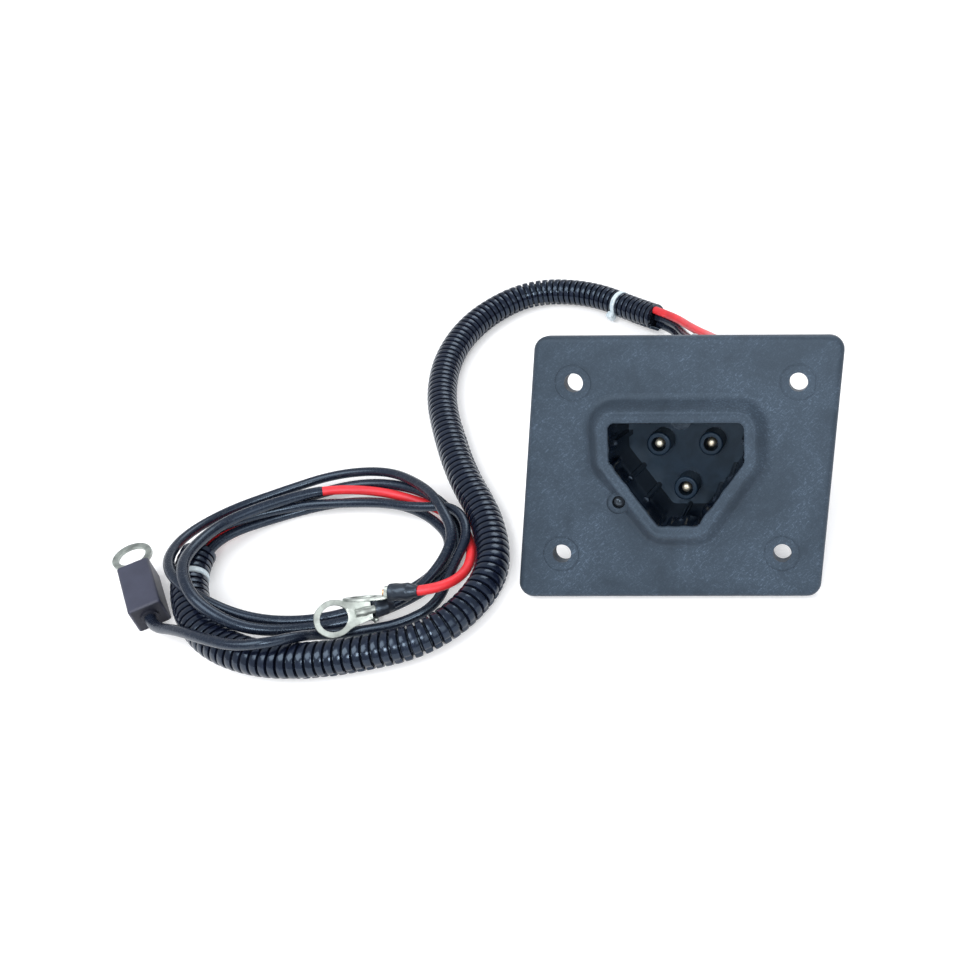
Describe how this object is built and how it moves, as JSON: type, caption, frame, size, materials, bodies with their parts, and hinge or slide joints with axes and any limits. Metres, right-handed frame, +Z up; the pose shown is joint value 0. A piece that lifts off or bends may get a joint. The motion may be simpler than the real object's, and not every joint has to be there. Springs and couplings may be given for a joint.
{
  "type": "charger receptacle",
  "caption": "Face plate with a keyed triangular three-pin charging socket, back cap and a wiring harness in a split loom with ring terminals and an inline fuse case.",
  "frame": {"origin": "middle of the receptacle's footprint, on the surface it leans on", "axes": "+X to the right when facing the socket, +Y away from the viewer, +Z up; the plate leans back about the X axis"},
  "size_m": [0.3103, 0.2625, 0.0931],
  "materials": {
    "plate": "matte mottled",
    "socket": "gloss",
    "contact": "polished",
    "grommet": "matte",
    "screw": "zinc plated",
    "lamp": "clear over dark",
    "red_lead": "satin",
    "black_lead": "satin",
    "loom": "satin",
    "tie": "translucent natural",
    "terminal": "tinned",
    "copper": "bare strands",
    "sleeve": "satin",
    "case": "satin"
  },
  "bodies": {
    "root": {"face_plate": "plate", "socket_body": "socket", "contact_carrier": "socket", "contact_positive": "contact", "contact_negative": "contact", "contact_sense": "contact", "back_cap": "plate", "lead_grommet": "grommet", "cap_screw_1": "screw", "cap_screw_2": "screw", "cap_screw_3": "screw", "cap_screw_4": "screw", "screw_post_1": "plate", "screw_post_2": "plate", "screw_post_3": "plate", "screw_post_4": "plate", "lamp_holder": "socket", "status_lamp": "lamp", "feed_red": "red_lead", "feed_black": "black_lead", "feed_third": "black_lead", "split_loom": "loom", "loom_tie_near": "tie", "loom_tie_far": "tie", "black_lead": "black_lead", "red_lead": "red_lead", "fuse_lead": "black_lead", "black_ring_terminal": "terminal", "red_ring_terminal": "terminal", "fuse_ring_terminal": "terminal", "black_strands": "copper", "red_strands": "copper", "black_terminal_sleeve": "sleeve", "red_terminal_sleeve": "sleeve", "fuse_case": "case"}
  },
  "joints": []
}
